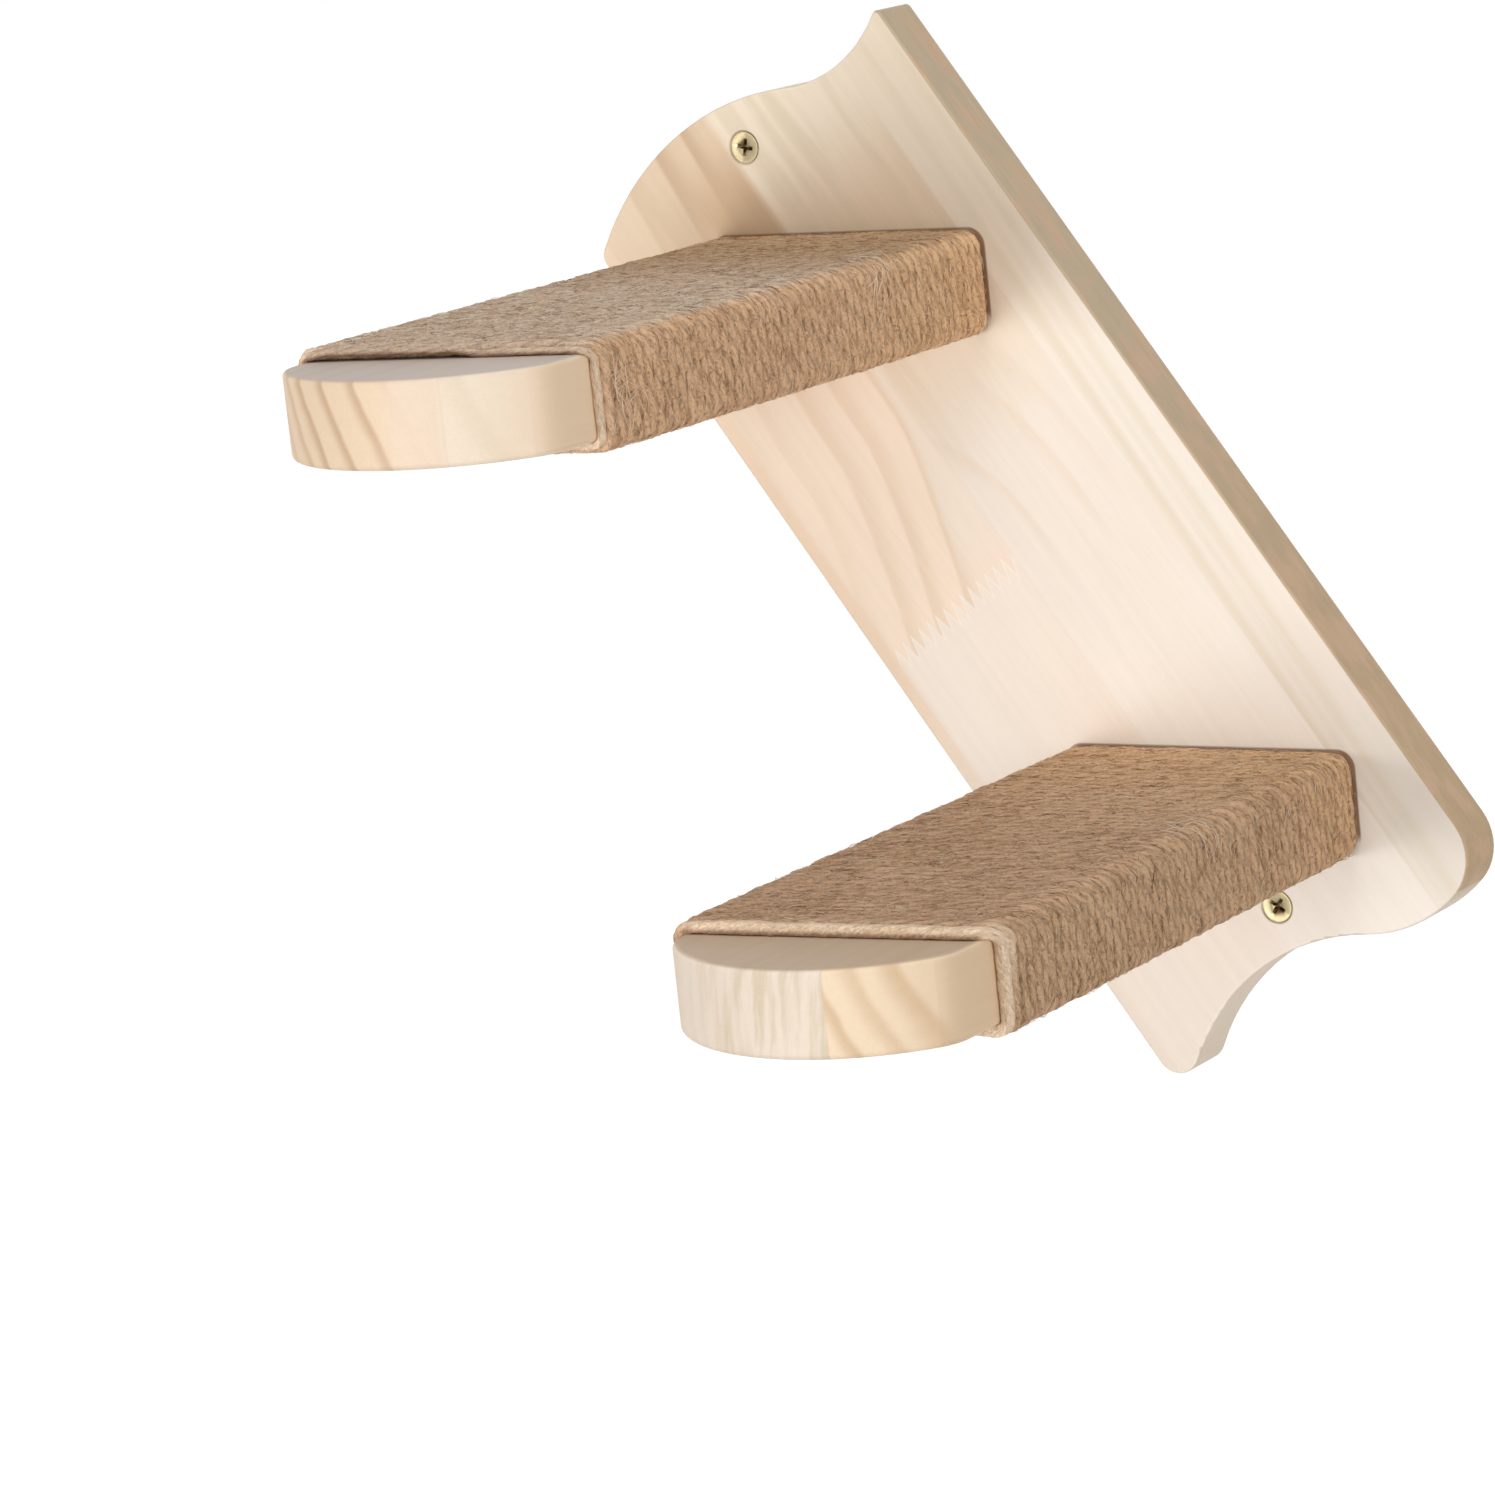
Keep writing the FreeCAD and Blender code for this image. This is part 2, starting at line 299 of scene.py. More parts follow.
def fibre_noise(graph, across, along, depth, width, length, detail=3.0):
    """Noise drawn out along the grain: its features are about width wide and length long."""
    stretched = graph.vector(
        graph.times(across, 1 / width), graph.times(along, 1 / length), graph.times(depth, 1 / width))
    return graph.noise(stretched, 1.0, detail, 0.55)


def centred(graph, noise, size):
    """Noise about zero, about this large at its peaks."""
    return graph.times(graph.less(noise, 0.5), size * 2)


def late_line(graph, place, at, lead, fall):
    """A growth line that starts quickly on its low side and fades slowly on its high side."""
    return growth_band(graph, graph.times(place, -1.0), -at, lead, fall)


def growth_lines(graph, place, lines, shape=growth_band):
    """Several growth lines, each given by its place, lead, fall and strength."""
    return strongest(graph, [graph.times(shape(graph, place, *line[:3]), line[3]) for line in lines])


def panel_pine():
    """The glued-up panel: four staves, one of them finger-jointed, with growth lines on the left."""
    g = Graph("pine_panel")
    place = g.place()
    lean = math.radians(lean_angle)
    cos, sin = math.cos(lean) * PER_METRE, math.sin(lean) * PER_METRE
    across = g.dot(place, (cos, 0, sin))
    along = g.dot(place, (-sin, 0, cos))
    depth = g.dot(place, (0, PER_METRE, 0))

    wander = centred(g, fibre_noise(g, across, along, depth, 40, 110, 1.0), 1.6)
    fine = fibre_noise(g, across, along, depth, 0.9, 26)
    streak = fibre_noise(g, across, along, depth, 3.2, 120)
    patch = fibre_noise(g, across, along, depth, 26, 150, 1.0)

    # Growth lines above the finger joint lean right at the top, and left near the joint
    low_share = g.math("MAXIMUM", g.times(g.less(52.0, along), 1 / 52), 0.0)
    bend = g.times(g.math("POWER", low_share, 1.35), 14.5)
    lean_right = g.times(g.math("MAXIMUM", g.less(along, 70.0), 0.0), 0.085)
    ring = g.less(g.add(across, bend, wander), lean_right)
    band = growth_lines(g, ring, ((-56.0, 9.0, 2.2, 0.4), (-39.5, 9.0, 2.0, 0.8), (-26.0, 8.0, 1.8, 0.85),
                                  (-11.0, 8.0, 1.8, 1.0)), late_line)
    # The upper end is darker amber with darker lines, fading lighter towards the top end: partly the wood's
    # own tone, partly painted shade from the upper tread
    upper_end = g.smooth(along, 50.0, 140.0)
    upper_amber = g.mix(g.smooth(across, -47.0, -42.0), srgb(232, 207, 178), srgb(216, 189, 159))
    upper_amber = g.mix(g.smooth(across, -31.0, -26.0), upper_amber, srgb(208, 178, 144))
    upper_amber = g.mix(g.smooth(along, 140.0, 172.0, 0.0, 0.7), upper_amber, srgb(238, 215, 187))
    amber = g.mix(upper_end, srgb(252, 231, 209), upper_amber)
    amber_line = g.mix(upper_end, srgb(240, 216, 189), srgb(205, 175, 143))
    amber = g.mix(band, amber, amber_line)

    # Plain length below the joint
    cream = g.mix(patch, srgb(251, 238, 224), srgb(248, 233, 217))

    # Finger joint: long narrow teeth along the grain
    tooth = g.math("PINGPONG", g.add(across, 2.0), 2.1)
    joint = g.add(along, 12.4, g.times(g.less(tooth, 1.05), 3.9))
    past_lines = g.times(
        g.smooth(ring, -12.0, -8.0), g.less(1.0, upper_end), g.smooth(along, -7.0, 8.0, 0.35, 0.8))
    amber = g.mix(past_lines, amber, srgb(246, 232, 216))
    below = g.smooth(joint, -0.9, 0.9, 1.0, 0.0)
    joint_line = g.times(g.smooth(joint, -1.4, -0.1), g.smooth(joint, 0.1, 1.4, 1.0, 0.0))
    second = g.mix(below, amber, cream)
    second = g.mix(g.times(joint_line, 0.7), second, srgb(255, 247, 236))

    # Pale stave with the flank of a faint arch, and the edge stave with straight lines
    arch_across = g.add(across, 20.0, wander)
    arch_along = g.times(g.add(along, 10.0), 1 / 1.9)
    arch = g.math("SQRT", g.add(g.times(arch_across, arch_across), g.times(arch_along, arch_along)))
    arch_line = growth_lines(g, arch, ((28.5, 5.0, 1.6, 1.0), (50.0, 6.0, 1.6, 1.0), (63.0, 5.0, 1.6, 0.7)))
    arch_line = g.times(arch_line, g.smooth(along, 34.0, 50.0, 1.0, 0.0), g.smooth(along, -30.0, -5.0))
    upper_half = g.smooth(along, 10.0, 100.0)
    third = g.mix(patch, srgb(247, 236, 223), srgb(245, 232, 217))
    third = g.mix(g.smooth(along, -95.0, -25.0, 0.7, 0.0), third, srgb(255, 246, 234))
    third = g.mix(upper_half, third, srgb(246, 230, 208))
    # Painted shadow of the upper tread: the pale stave turns darker and browner around and above it, fading
    # upwards
    painted_tread_shadow = g.smooth(along, 105.0, 150.0, 0.55, 0.0)
    third = g.mix(g.times(painted_tread_shadow, upper_half), third, srgb(228, 199, 163))
    soft_streak = g.smooth(fibre_noise(g, across, along, depth, 9.0, 100, 2.0), 0.46, 0.64)
    third = g.mix(g.times(soft_streak, upper_half, 0.6), third, srgb(228, 210, 182))
    third = g.mix(g.times(arch_line, 0.4), third, srgb(237, 217, 193))
    tilted = g.less(g.add(across, g.times(wander, 0.3)), g.times(along, 0.036))
    edge_line = growth_lines(
        g, tilted, ((53.6, 4.6, 3.4, 1.0), (59.0, 3.0, 2.4, 0.4), (64.0, 4.2, 3.4, 0.8)))
    fourth = g.mix(upper_half, srgb(247, 236, 222), srgb(244, 227, 205))
    fourth = g.mix(g.times(edge_line, 0.5), fourth, srgb(231, 215, 187))
    first = g.mix(g.smooth(along, -100.0, -10.0), srgb(247, 231, 214), srgb(243, 217, 190))

    # Staves from left to right, with thin glue lines
    colour = g.mix(g.smooth(across, -68.5, -64.5), first, second)
    colour = g.mix(g.smooth(across, -8.0, -3.4), colour, third)
    colour = g.mix(g.smooth(across, 48.4, 49.6), colour, fourth)
    seams = []
    for seam in stave_seams:
        gap = g.math("ABSOLUTE", g.less(across, seam))
        seams.append(g.smooth(gap, 0.1, 0.8, 1.0, 0.0))
    glue = strongest(g, seams)

    # Fibres, streaks and pores
    grain = g.add(0.995, centred(g, fine, 0.032), centred(g, streak, 0.045))
    pore_noise = fibre_noise(g, across, along, depth, 0.35, 6.0, 1.0)
    pores = g.smooth(pore_noise, 0.66, 0.76)
    grain = g.less(grain, g.times(pores, 0.03))
    grain = g.less(grain, g.times(glue, 0.02))

    # Sawn long edges are browner and mottled, and end grain is a little darker
    normal = g.normal()
    facing = g.dot(normal, (cos / PER_METRE, 0, sin / PER_METRE))
    facing_end = g.dot(normal, (-sin / PER_METRE, 0, cos / PER_METRE))
    corner = g.times(g.smooth(facing, 0.05, 0.3), g.smooth(across, 42.0, 56.0))
    side = g.math("MAXIMUM", g.smooth(g.math("ABSOLUTE", facing), 0.45, 0.85), corner)
    end = g.smooth(g.math("ABSOLUTE", facing_end), 0.45, 0.85)
    mottle = fibre_noise(g, across, along, depth, 7.0, 16.0, 3.0)
    low_end = g.smooth(along, -150.0, 120.0)
    sawn = g.mix(low_end, srgb(182, 152, 113), srgb(187, 167, 137))
    sawn = g.mix(g.smooth(mottle, 0.45, 0.62, 0.0, 0.7), sawn, srgb(194, 158, 126))
    sawn = g.shade(sawn, g.add(1.0, centred(g, fine, 0.12), centred(g, mottle, 0.16)))
    colour = g.mix(g.times(end, 0.65), colour, srgb(213, 193, 168))
    colour = g.mix(g.times(side, 0.9), colour, sawn)

    # Painted shade of the countersink gaps: a dark ring round each screw head, on the front only
    front = g.smooth(depth, -19.9, -19.0, 1.0, 0.0)
    countersink_shade_masks = []
    for sign in (-1, 1):
        off_along = g.add(along, sign * wall_screw_spacing / 2)
        off = g.math("SQRT", g.add(g.times(across, across), g.times(off_along, off_along)))
        countersink_shade_masks.append(g.smooth(off, head_radius + 0.35, head_radius + 1.1, 1.0, 0.0))
    countersink_shade = strongest(g, countersink_shade_masks)
    colour = g.mix(g.times(countersink_shade, front, 0.45), colour, srgb(128, 100, 70))

    # Painted contact shadow: a dark line on the panel where the twine meets it, strongest on the right and
    # absent along the bottom of each tread
    contact_shadows = []
    outer = step_edge_rounding + twine_seat + twine_radius * twine_flatness * 2
    for middle in tread_middles.values():
        local = g.shifted(place, tuple(middle * MM))
        beyond = []
        for axis, half in (((PER_METRE, 0, 0), step_half_width), ((0, 0, PER_METRE), step_half_thickness)):
            distance = g.math("ABSOLUTE", g.dot(local, axis))
            beyond.append(g.math("MAXIMUM", g.less(distance, half - step_edge_rounding), 0.0))
        off = g.math("SQRT", g.add(g.times(beyond[0], beyond[0]), g.times(beyond[1], beyond[1])))
        aside, up = g.dot(local, (PER_METRE, 0, 0)), g.dot(local, (0, 0, PER_METRE))
        right = g.smooth(aside, step_half_width - 2, step_half_width + 1, 0.75, 0.85)
        above = g.smooth(up, -step_half_thickness, 4 - step_half_thickness)
        contact_shadows.append(g.times(g.smooth(off, outer + 0.1, outer + 0.8, 1.0, 0.0), right, above))
    colour = g.mix(g.times(strongest(g, contact_shadows), front), colour, srgb(146, 96, 48))
    colour = g.shade(colour, grain)
    height = g.add(fine, g.times(streak, 0.6), g.times(pores, -0.8))
    return g.finish(colour, height, 0.04, 0.56, **{"Specular IOR Level": 0.3})


def tread_place(g, node):
    """Coordinates across, up and along a tread from the middle of its panel end, in millimetres."""
    low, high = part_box(node)
    middle = ((low.x + high.x) / 2, high.y, (low.z + high.z) / 2)
    place = g.shifted(g.place(), middle)
    return (g.dot(place, (PER_METRE, 0, 0)), g.dot(place, (0, 0, PER_METRE)),
            g.dot(place, (0, PER_METRE, 0)))


def up_share(g):
    """One on the level faces of a tread, where its growth lines hardly show and painted shade darkens the
    colour.
    """
    return g.smooth(g.dot(g.normal(), (0, 0, 1)), 0.6, 0.95)


def tread_finish(g, colour, across, up, length, seam, painted_top_shading, painted_side_shade):
    """Painted shade on the level faces and the sides, then the glue line, fibres and end grain that both
    treads share.
    """
    fine = fibre_noise(g, across, length, up, 0.8, 30)
    streak = fibre_noise(g, across, length, up, 3.0, 130)
    # Painted shade: the level faces and the sides take darker tones
    colour = g.mix(g.times(up_share(g), 0.85), colour, painted_top_shading)
    side = g.smooth(g.math("ABSOLUTE", g.dot(g.normal(), (1, 0, 0))), 0.55, 1.0)
    colour = g.mix(g.times(side, 0.72), colour, painted_side_shade)
    gap = g.math("ABSOLUTE", g.less(across, seam))
    glue = g.smooth(gap, 0.1, 0.6, 1.0, 0.0)
    grain = g.add(0.995, centred(g, fine, 0.03), centred(g, streak, 0.03))
    grain = g.less(grain, g.times(glue, 0.03))
    front = g.smooth(g.math("ABSOLUTE", g.dot(g.normal(), (0, 1, 0))), 0.5, 0.9)
    speckle = g.noise(g.vector(across, up, length), 1.7, 3.0, 0.6)
    grain = g.add(grain, g.times(front, centred(g, speckle, 0.055)))
    colour = g.shade(colour, grain)
    height = g.add(fine, g.times(streak, 0.5), g.times(front, speckle))
    return g.finish(colour, height, 0.04, 0.55, **{"Specular IOR Level": 0.3})


def upper_tread_pine():
    """Two lamellas: amber-lined on the left, plain and pale on the right."""
    g = Graph("pine_tread_upper")
    across, up, length = tread_place(g, "upper_step_board")
    wander = centred(g, g.noise(g.vector(across, up, g.times(length, 0.1)), 0.06, 2.0), 1.6)
    ring = g.add(across, g.times(up, 0.42), wander)
    bands = growth_lines(g, ring, (
        (-41.0, 5.5, 2.6, 0.6), (-31.0, 5.0, 2.4, 0.75), (-22.4, 5.0, 2.2, 1.0), (-10.6, 5.0, 2.2, 1.0),
        (2.3, 5.0, 2.2, 1.0), (14.4, 5.0, 2.4, 0.35)))
    band = g.math("POWER", bands, 1.35)
    left = g.mix(g.times(band, 0.75), srgb(227, 202, 173), srgb(191, 156, 122))
    pale = g.smooth(across, 2.0, 16.0)
    left = g.mix(g.times(pale, 0.7), left, srgb(228, 207, 187))
    faint = g.times(growth_band(g, ring, 34.0, 8.0, 3.5), 0.4)
    right = g.mix(faint, srgb(230, 213, 192), srgb(217, 199, 172))
    colour = g.mix(g.smooth(across, 22.5, 26.5), left, right)
    # The last two colours are painted shade, one for the level faces and one for the sides
    return tread_finish(g, colour, across, up, length, 24.7, srgb(194, 180, 170), srgb(231, 201, 166))


def lower_tread_pine():
    """Two lamellas: whitish with soft upright streaks on the left, amber-banded on the right."""
    g = Graph("pine_tread_lower")
    across, up, length = tread_place(g, "lower_step_board")
    wander = centred(g, g.noise(g.vector(across, up, g.times(length, 0.1)), 0.06, 2.0), 1.8)
    ring = g.add(across, g.times(up, -0.12), wander)
    drawn_out = g.vector(g.times(ring, 0.3), g.times(up, 0.03), g.times(length, 0.003))
    streaks = g.noise(drawn_out, 1.0, 3.0, 0.6)
    middle = g.smooth(across, -34.0, -10.0, 0.25, 1.0)
    streak_share = g.times(g.smooth(streaks, 0.4, 0.7), middle, 0.7)
    left = g.mix(streak_share, srgb(227, 211, 194), srgb(203, 184, 155))
    slanted = g.add(across, g.times(up, 0.42), wander)
    bands = growth_lines(
        g, slanted, ((20.6, 5.0, 2.4, 1.0), (31.2, 6.5, 2.8, 0.75), (41.6, 7.5, 2.8, 1.0)))
    band = g.math("POWER", bands, 1.3)
    right = g.mix(g.times(band, 0.7), srgb(233, 210, 181), srgb(203, 170, 132))
    colour = g.mix(g.smooth(across, 18.1, 18.9), left, right)
    # The last two colours are painted shade, one for the level faces and one for the sides
    return tread_finish(g, colour, across, up, length, 18.5, srgb(191, 168, 143), srgb(214, 184, 149))


def turned_beech():
    """Dowel wood: pinkish, with short dark flecks along the grain."""
    g = Graph("beech_dowel")
    place = g.place()
    x, y, z = (g.dot(place, axis) for axis in ((PER_METRE, 0, 0), (0, PER_METRE, 0), (0, 0, PER_METRE)))
    fine = fibre_noise(g, x, y, z, 0.7, 14)
    fleck_noise = fibre_noise(g, x, y, z, 0.4, 2.2, 1.0)
    flecks = g.smooth(fleck_noise, 0.62, 0.74)
    colour = g.mix(fine, srgb(214, 178, 138), srgb(190, 150, 110))
    colour = g.mix(g.times(flecks, 0.5), colour, srgb(140, 98, 66))
    return g.finish(colour, fine, 0.08, 0.6)


def brass_plate():
    """Pale brass plating with faint rubbing marks, and painted shade down in the recess."""
    g = Graph("brass_plate")
    place = g.place()
    cloud = g.noise(place, 900.0, 3.0, 0.6)
    scratch = g.noise(g.vector(g.dot(place, (7000, 0, 900)), g.dot(place, (0, 600, 0)),
                               g.dot(place, (-900, 0, 600))), 1.0, 2.0)
    depth = g.dot(place, (0, PER_METRE, 0))
    # Painted shade down in the screw head's recess
    recess_shade = g.times(g.smooth(depth, -19.66, -19.0), g.smooth(depth, -17.0, -12.0, 1.0, 0.0))
    colour = g.mix(cloud, srgb(184, 170, 138), srgb(162, 146, 110))
    colour = g.mix(g.times(recess_shade, 0.9), colour, srgb(104, 84, 54))
    rough = g.add(0.4, centred(g, scratch, 0.08), centred(g, cloud, 0.06))
    return g.finish(colour, scratch, 0.01, rough, Metallic=1.0)


def painted_top_shading(g, colour, painted_top_tint, painted_top_wall_tint):
    """Painted shading on the winding's level side, which changes towards the panel."""
    near_wall = g.smooth(g.dot(g.place(), (0, PER_METRE, 0)), *painted_level_shading_range)
    tint = g.mix(near_wall, painted_top_tint, painted_top_wall_tint)
    return g.mix(g.attribute("top"), colour, g.mix(1.0, colour, tint, "MULTIPLY"))


def jute(name, tint, painted_wall_tint, painted_top_tint, painted_top_wall_tint):
    """Raw twine: drawn-out fibres that follow the plies, with short cracks between them painted dark as
    shade, and painted shading on the level side, near the panel, in the creases and under the first turn.
    """
    g = Graph(name)
    lay = g.attribute("lay", "Vector")
    valley = g.attribute("valley")
    pale = g.attribute("pale")
    around_x, around_y, run = (g.dot(lay, axis) for axis in ((1, 0, 0), (0, 1, 0), (0, 0, PER_METRE)))

    def drawn_out(across_scale, run_scale, detail, roughness):
        """Noise along the plies, with its features per radius across and per millimetre along."""
        stretched = g.vector(g.times(around_x, across_scale), g.times(around_y, across_scale),
                             g.times(run, run_scale))
        return g.noise(stretched, 1.0, detail, roughness)

    fibre = drawn_out(5.5, 0.7, 4.0, 0.62)
    hair = drawn_out(12.0, 1.4, 2.0, 0.6)
    cracks = g.smooth(drawn_out(4.4, 1.0, 2.0, 0.5), 0.54, 0.68)
    length_tone = g.noise(g.vector(g.times(run, 0.02), 0.0, 0.0), 1.0, 3.0, 0.6)
    place = g.place()
    cloud = g.noise(place, 34.0, 3.0, 0.55)
    felt = g.noise(place, 1150.0, 2.0, 0.6)
    drawn = g.less(1.0, g.times(g.attribute("bend"), 0.75))
    strands = g.add(g.times(g.less(fibre, 0.5), 0.42), g.times(g.less(hair, 0.5), 0.18))
    tone = g.add(0.3, g.times(felt, 0.3), g.times(strands, drawn), centred(g, length_tone, 0.08),
                 centred(g, cloud, 0.08))
    colour = g.ramp(tone, (0.22, srgb(172, 132, 95)), (0.45, srgb(228, 189, 151)),
                    (0.6, srgb(241, 206, 169)), (0.78, srgb(250, 229, 200)))
    colour = g.mix(1.0, colour, tint, "MULTIPLY")
    y = g.dot(place, (0, PER_METRE, 0))
    # Painted shading: the twine turns a little warmer towards the panel
    near_wall = g.smooth(y, *painted_side_shading_range)
    colour = g.mix(near_wall, colour, g.mix(1.0, colour, painted_wall_tint, "MULTIPLY"))
    # Painted shading on the level side, which changes towards the panel
    colour = painted_top_shading(g, colour, painted_top_tint, painted_top_wall_tint)
    # The cracks between fibres are painted dark, as shade
    colour = g.mix(g.times(cracks, 0.5), colour, srgb(132, 96, 66))
    peach = g.ramp(fibre, (0.3, srgb(206, 170, 134)), (0.5, srgb(240, 210, 178)),
                   (0.65, srgb(253, 236, 214)))
    colour = g.mix(pale, colour, peach)
    # Painted shade under the first turn, where it sits on the tread's level faces
    colour = g.mix(g.times(g.attribute("seat_shade"), 0.7), colour, srgb(138, 92, 56))
    # Painted shade in the valleys between the plies, lighter on the pale cord
    dark = g.smooth(valley, 0.0, 0.75, g.add(0.74, g.times(pale, 0.16)), 1.0)
    # Painted shade on the turns next to the panel
    slit_shade = g.smooth(y, *wall_slit_shade, 1.0, 0.45)
    colour = g.shade(colour, g.times(dark, slit_shade))
    strand_height = g.add(g.times(fibre, 0.8), g.times(hair, 0.5))
    height = g.add(felt, g.times(strand_height, drawn), g.times(cracks, -0.8))
    return g.finish(colour, height, 0.25, 0.92, **{"Specular IOR Level": 0.12, "Sheen Weight": 0.1,
                                                   "Sheen Roughness": 0.5})


def jute_fuzz(name, tint, painted_top_tint, painted_top_wall_tint):
    """Single loose fibres, from straw to brown."""
    g = Graph(name)
    tone = g.attribute("tone")
    grain = g.noise(g.place(), 700.0, 1.0)
    tone = g.add(tone, centred(g, grain, 0.1))
    colour = g.ramp(tone, (0.05, srgb(146, 108, 74)), (0.4, srgb(219, 180, 141)),
                    (0.7, srgb(238, 206, 170)), (1.0, srgb(252, 236, 212)))
    colour = g.mix(1.0, colour, tint, "MULTIPLY")
    # The loose fibres take the same painted shading on the level side
    colour = painted_top_shading(g, colour, painted_top_tint, painted_top_wall_tint)
    return g.finish(colour, None, 0.0, 0.85, **{"Specular IOR Level": 0.15})


# Meshes

def add_object(name, data):
    made = bpy.data.objects.new(name, data)
    bpy.context.scene.collection.objects.link(made)
    return made


def mesh_piece(name, points, faces, material):
    """A piece of the object from points in millimetres, riding on the only body."""
    mesh = bpy.data.meshes.new(name)
    mesh.from_pydata((np.asarray(points) * MM).tolist(), [], faces)
    mesh.polygons.foreach_set("use_smooth", np.ones(len(mesh.polygons), dtype=bool))
    mesh.materials.append(material)
    piece = add_object(name, mesh)
    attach(piece, "root")
    return piece


def point_values(piece, name, values):
    """Stores one number, or one vector, per vertex for the material."""
    values = np.asarray(values, dtype=np.float32)
    kind, key = ("FLOAT_VECTOR", "vector") if values.ndim == 2 else ("FLOAT", "value")
    attribute = piece.data.attributes.new(name, kind, "POINT")
    attribute.data.foreach_set(key, values.ravel())


def bake_map(piece, corners):
    """A texture map named OFBake for baking, one pair per face corner."""
    layer = piece.data.uv_layers.new(name="OFBake")
    layer.data.foreach_set("uv", np.asarray(corners, dtype=np.float32).ravel())


def smooth_noise(rng, run, spacing, size):
    """Seeded wander along a length, between -size and size."""
    knots = rng.uniform(-size, size, int(run[-1] / spacing) + 3)
    place = run / spacing
    base = place.astype(int)
    share = place - base
    share = share * share * (3 - 2 * share)
    return knots[base] * (1 - share) + knots[base + 1] * share


def soft_step(values, low, high):
    share = np.clip((values - low) / (high - low), 0, 1)
    return share * share * (3 - 2 * share)


# Twine

class Loop:
    """The way of one turn round a tread: along the bottom, up the right side, over the top and down."""

    def __init__(self):
        inner_x = step_half_width - step_edge_rounding
        inner_z = step_half_thickness - step_edge_rounding
        self.bend = step_edge_rounding + twine_seat + twine_radius * twine_flatness
        quarter = self.bend * math.pi / 2
        lengths = [inner_x - twine_tail_start, quarter, inner_z * 2, quarter, inner_x * 2, quarter,
                   inner_z * 2, quarter, inner_x + twine_tail_start]
        self.stations = np.concatenate([[0], np.cumsum(lengths)])
        self.length = self.stations[-1]
        self.x = [twine_tail_start, inner_x, inner_x, inner_x, inner_x, -inner_x, -inner_x, -inner_x,
                  -inner_x, twine_tail_start]
        self.z = [-inner_z, -inner_z, -inner_z, inner_z, inner_z, inner_z, inner_z, -inner_z, -inner_z,
                  -inner_z]
        self.angle = np.radians([-90, -90, 0, 0, 90, 90, 180, 180, 270, 270])

    def at(self, run):
        """Inner points and outward directions for distances along the turn."""
        run = np.mod(run, self.length)
        x = np.interp(run, self.stations, self.x)
        z = np.interp(run, self.stations, self.z)
        angle = np.interp(run, self.stations, self.angle)
        zero = np.zeros_like(x)
        return np.stack([x, zero, z], -1), np.stack([np.cos(angle), zero, np.sin(angle)], -1)

    def crossing(self, run):
        """Share of the sidestep to the next row that is done, while the cord crosses underneath."""
        run = np.mod(run, self.length)
        return soft_step(run, self.stations[8], self.length - twine_crossing_lead)

    def skew(self, run, levels):
        """How far the front turn stands behind its row at the right side, the top's ends and the left."""
        right, top_right, top_left, left = levels
        run = np.mod(run, self.length)
        places = [0, *self.stations[2:6], self.stations[7], self.length]
        return np.interp(run, places, [right, right, right, top_right, top_left, left, right])


loop = Loop()


def turn_rows(first_thickness):
    """Where each turn's middle lies along the tread: a thinner first turn, then even ones."""
    pitch = (wrap_back - wrap_front - first_thickness) / (turn_count - 1)
    rows = wrap_front + first_thickness + pitch * (np.arange(turn_count) - 0.5)
    rows[0] = wrap_front + first_thickness / 2
    return np.append(rows, rows[-1])


def wall_share(row):
    """How much of the front turn's skew is left in a row: all at the front, none at the wall."""
    return np.clip((wrap_back - row) / (wrap_back - wrap_front), 0, 1)


def bend_share(outward):
    """One where a turn goes round an edge of the tread, and zero along its faces."""
    return soft_step(1 - np.abs(outward).max(-1), 0.0, 0.1)


def cord(tread, first_thickness, skew_levels, seed):
    """The whole cord of one tread, section by section."""
    rng = np.random.default_rng(seed)
    count = turn_count * turn_sections + 1
    run = np.arange(count) * (loop.length / turn_sections)
    turn = np.minimum(np.arange(count) // turn_sections, turn_count - 1)
    local = run - turn * loop.length
    inner, outward = loop.at(local)
    inner[-1], outward[-1] = inner[0], outward[0]
    step = loop.crossing(np.minimum(local, loop.length - 1e-6))
    rows = turn_rows(first_thickness)
    row = rows[turn] * (1 - step) + rows[turn + 1] * step
    skew = loop.skew(local, skew_levels)
    row += skew * wall_share(row) + smooth_noise(rng, run, *row_wander)
    stretch = 1 - skew / (wrap_back - wrap_front)

    radius = twine_radius * (1 + sum(smooth_noise(rng, run, *wander) for wander in thickness_wanders))
    thin = soft_step(run, loop.length * 0.72, loop.length * 0.98)
    radius *= first_thickness / 2 / twine_radius * (1 - thin) + thin
    ends = soft_step(run, 0, end_taper) * soft_step(run[-1] - run, 0, end_taper)
    radius *= 0.55 + 0.45 * ends

    top = (local > loop.stations[4]) & (local < loop.stations[5])
    right = local < loop.stations[4] - 1
    pale = np.zeros(count)
    lift = np.clip(smooth_noise(rng, run, *lift_wander), -0.05, 0.12)
    if tread == "upper":
        pale[(turn == 0) & right] = 1.0
        pale[(turn == 0) & top] = soft_step(inner[:, 0], 14, 24)[(turn == 0) & top]
        raised = (1 - soft_step(inner[:, 0], 5, 14)) * soft_step(inner[:, 0], -49, -40)
        lift += np.where((turn == 0) & top, raised * 1.25, 0)
        pale[(turn == 1) & right] = 0.1
    else:
        pale[(turn == 0) & (top | right)] = 1.0
        pale[(turn == 1) & right] = soft_step(inner[:, 2], -6, 8)[(turn == 1) & right] * 0.7
    kernel = np.ones(7) / 7
    pale = np.convolve(pale, kernel, "same")

    seat = step_edge_rounding + twine_seat + lift + radius * twine_flatness
    middle = inner + outward * seat[:, None]
    middle[:, 1] += row
    middle += tread_middles[tread]
    twist = -run / twine_lay * 2 * math.pi + smooth_noise(rng, run, *twist_wander)
    return {"run": run, "bend": bend_share(outward), "middle": middle, "outward": outward, "radius": radius,
            "twist": twist, "stretch": stretch, "pale": pale, "rows": rows, "skew": skew_levels, "rng": rng}


